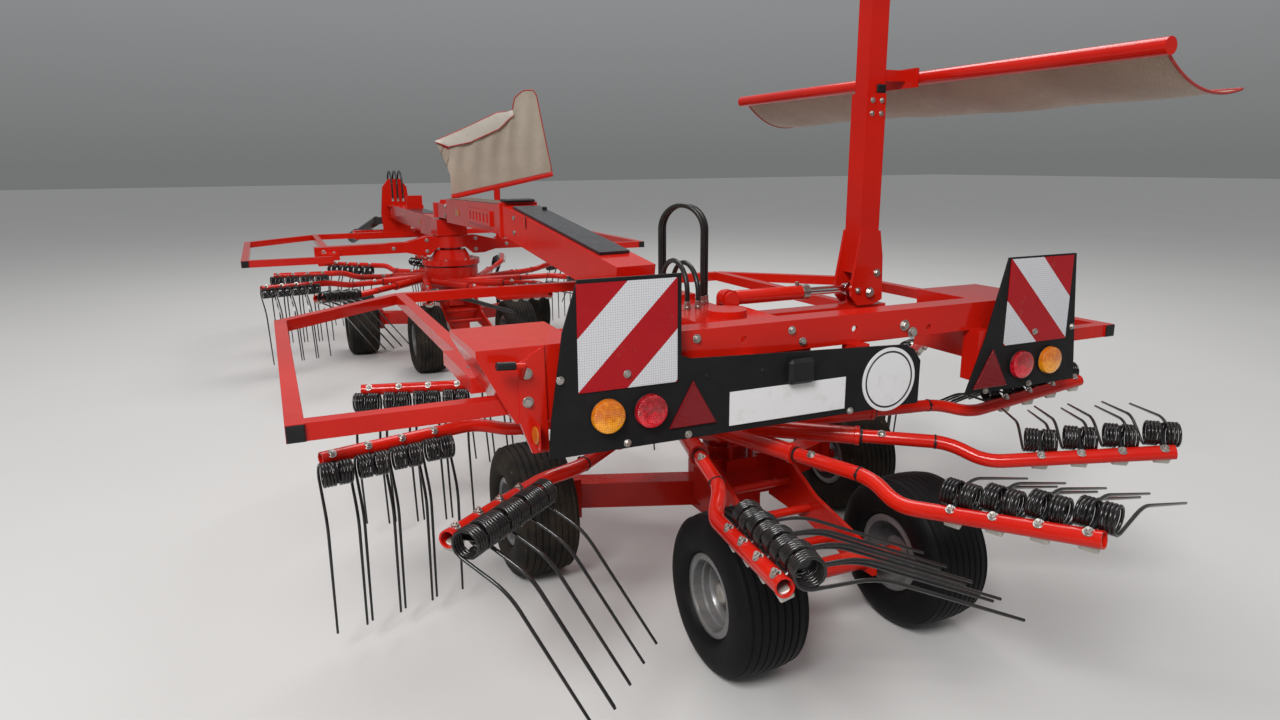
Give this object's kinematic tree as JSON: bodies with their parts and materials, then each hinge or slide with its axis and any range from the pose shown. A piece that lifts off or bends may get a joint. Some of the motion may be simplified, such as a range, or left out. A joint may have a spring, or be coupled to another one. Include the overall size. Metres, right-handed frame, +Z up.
{
  "type": "twin rotor hay rake",
  "caption": "Trailed side-delivery hay rake with two tine rotors in line on four-wheel chassis, an articulated beam between them, tube guards, folding windrow curtains, a light board and a two-point headstock.",
  "frame": {"origin": "on the ground under the middle of the machine's bounding box", "axes": "+Z up, +Y forward to the tractor along the direction of travel, +X to the machine's right"},
  "size_m": [3.005, 8.5001, 2.12],
  "materials": {
    "paint": "gloss orange-red enamel",
    "spring": "gloss black enamel on spring steel",
    "board": "satin black",
    "panel": "retro-reflective red and white",
    "lamp": "ribbed lens",
    "sign": "blank white",
    "tyre": "dusty rubber",
    "rim": "silver-grey paint",
    "hose": "black hydraulic hose",
    "shaft": "black guard",
    "cloth": "beige coated tarpaulin",
    "steel": "plated rod",
    "cover": "dark cover plate"
  },
  "bodies": {
    "front_frame": {"front_column": "paint", "front_crossbeam": "paint", "front_guards": "paint", "drawbar": "paint"},
    "hitch": {"headstock": "paint", "pto_shaft": "shaft", "hitch_hoses": "hose"},
    "leg": {"parking_leg": "paint"},
    "front_rotor": {"front_hub": "paint", "front_arms": "paint", "front_tines": "spring"},
    "front_chassis_body": {"front_chassis": "paint"},
    "front_curtain": {"front_curtain_rail": "paint", "front_curtain_cloth": "cloth"},
    "beam_body": {"beam": "paint", "beam_cover": "cover"},
    "rear_frame": {"rear_column": "paint", "rear_crossbeam": "paint", "rear_side_boxes": "paint", "rear_guards": "paint", "rear_hoses": "hose", "light_boards": "board", "warning_panels": "panel", "lamps": "lamp", "signs": "sign"},
    "rear_rotor": {"rear_hub": "paint", "rear_arms": "paint", "rear_tines": "spring"},
    "rear_chassis_body": {"rear_chassis": "paint"},
    "rear_curtain": {"mast": "paint", "curtain_rail": "paint", "curtain_cloth": "cloth"},
    "barrel": {"cylinder_barrel": "paint"},
    "piston_rod": {"cylinder_rod": "steel"},
    "wheel_f1": {"tyre_f1": "tyre", "rim_f1": "rim"},
    "wheel_f2": {"tyre_f2": "tyre", "rim_f2": "rim"},
    "wheel_f3": {"tyre_f3": "tyre", "rim_f3": "rim"},
    "wheel_f4": {"tyre_f4": "tyre", "rim_f4": "rim"},
    "wheel_r1": {"tyre_r1": "tyre", "rim_r1": "rim"},
    "wheel_r2": {"tyre_r2": "tyre", "rim_r2": "rim"},
    "wheel_r3": {"tyre_r3": "tyre", "rim_r3": "rim"},
    "wheel_r4": {"tyre_r4": "tyre", "rim_r4": "rim"}
  },
  "joints": [
    {"name": "hitch_swivel", "type": "hinge", "parent": "front_frame", "child": "hitch", "pos_m": [-0.08, 3.53, 0.93], "axis": [0, 0, 1], "range_deg": [-55, 55]},
    {"name": "leg_slide", "type": "slide", "parent": "front_frame", "child": "leg", "axis": [0, 0, 1], "range_m": [0, 0.4]},
    {"name": "front_rotor_spin", "type": "hinge", "parent": "front_frame", "child": "front_rotor", "pos_m": [-0.08, 0.99, 0.55], "axis": [0, 0, -1], "continuous": true},
    {"name": "front_lift", "type": "slide", "parent": "front_frame", "child": "front_chassis_body", "axis": [0, 0, -1], "range_m": [0, 0.3]},
    {"name": "front_curtain_swivel", "type": "hinge", "parent": "front_frame", "child": "front_curtain", "pos_m": [0.32, 1.075, 0.84], "axis": [0, 0, 1], "range_deg": [0, 90]},
    {"name": "beam_swing", "type": "hinge", "parent": "front_frame", "child": "beam_body", "pos_m": [-0.08, 0.99, 1.07], "axis": [0, 0, 1], "range_deg": [0, 35]},
    {"name": "rear_steer", "type": "hinge", "parent": "beam_body", "child": "rear_frame", "pos_m": [0.08, -2.24, 0.876], "axis": [0, 0, 1], "range_deg": [-35, 35]},
    {"name": "rear_rotor_spin", "type": "hinge", "parent": "rear_frame", "child": "rear_rotor", "pos_m": [0.08, -2.88, 0.55], "axis": [0, 0, -1], "continuous": true},
    {"name": "rear_lift", "type": "slide", "parent": "rear_frame", "child": "rear_chassis_body", "axis": [0, 0, -1], "range_m": [0, 0.3]},
    {"name": "rear_curtain_fold", "type": "hinge", "parent": "rear_frame", "child": "rear_curtain", "pos_m": [0.8, -2.68, 0.893], "axis": [0, 1, 0], "range_deg": [0, 90]},
    {"name": "barrel_swing", "type": "hinge", "parent": "rear_frame", "child": "barrel", "pos_m": [0.2, -2.68, 0.903], "axis": [0, 1, 0], "range_deg": [-5.2, 0]},
    {"name": "rod_slide", "type": "slide", "parent": "barrel", "child": "piston_rod", "axis": [1, 0, 0], "range_m": [0, 0.06]},
    {"name": "wheel_f1_spin", "type": "hinge", "parent": "front_chassis_body", "child": "wheel_f1", "pos_m": [-0.742, 1.167, 0.2285], "axis": [-1, 0, 0], "continuous": true},
    {"name": "wheel_f2_spin", "type": "hinge", "parent": "front_chassis_body", "child": "wheel_f2", "pos_m": [0.582, 1.167, 0.2285], "axis": [-1, 0, 0], "continuous": true},
    {"name": "wheel_f3_spin", "type": "hinge", "parent": "front_chassis_body", "child": "wheel_f3", "pos_m": [-0.392, 0.37, 0.2285], "axis": [-1, 0, 0], "continuous": true},
    {"name": "wheel_f4_spin", "type": "hinge", "parent": "front_chassis_body", "child": "wheel_f4", "pos_m": [0.232, 0.37, 0.2285], "axis": [-1, 0, 0], "continuous": true},
    {"name": "wheel_r1_spin", "type": "hinge", "parent": "rear_chassis_body", "child": "wheel_r1", "pos_m": [-0.582, -2.703, 0.2285], "axis": [-1, 0, 0], "continuous": true},
    {"name": "wheel_r2_spin", "type": "hinge", "parent": "rear_chassis_body", "child": "wheel_r2", "pos_m": [0.742, -2.703, 0.2285], "axis": [-1, 0, 0], "continuous": true},
    {"name": "wheel_r3_spin", "type": "hinge", "parent": "rear_chassis_body", "child": "wheel_r3", "pos_m": [-0.232, -3.5, 0.2285], "axis": [-1, 0, 0], "continuous": true},
    {"name": "wheel_r4_spin", "type": "hinge", "parent": "rear_chassis_body", "child": "wheel_r4", "pos_m": [0.392, -3.5, 0.2285], "axis": [-1, 0, 0], "continuous": true}
  ],
  "couplings": [
    {"joint": "barrel_swing", "follows": "rear_curtain_fold", "ratio": -0.055},
    {"joint": "rod_slide", "follows": "rear_curtain_fold", "m_per_rad": 0.036}
  ]
}
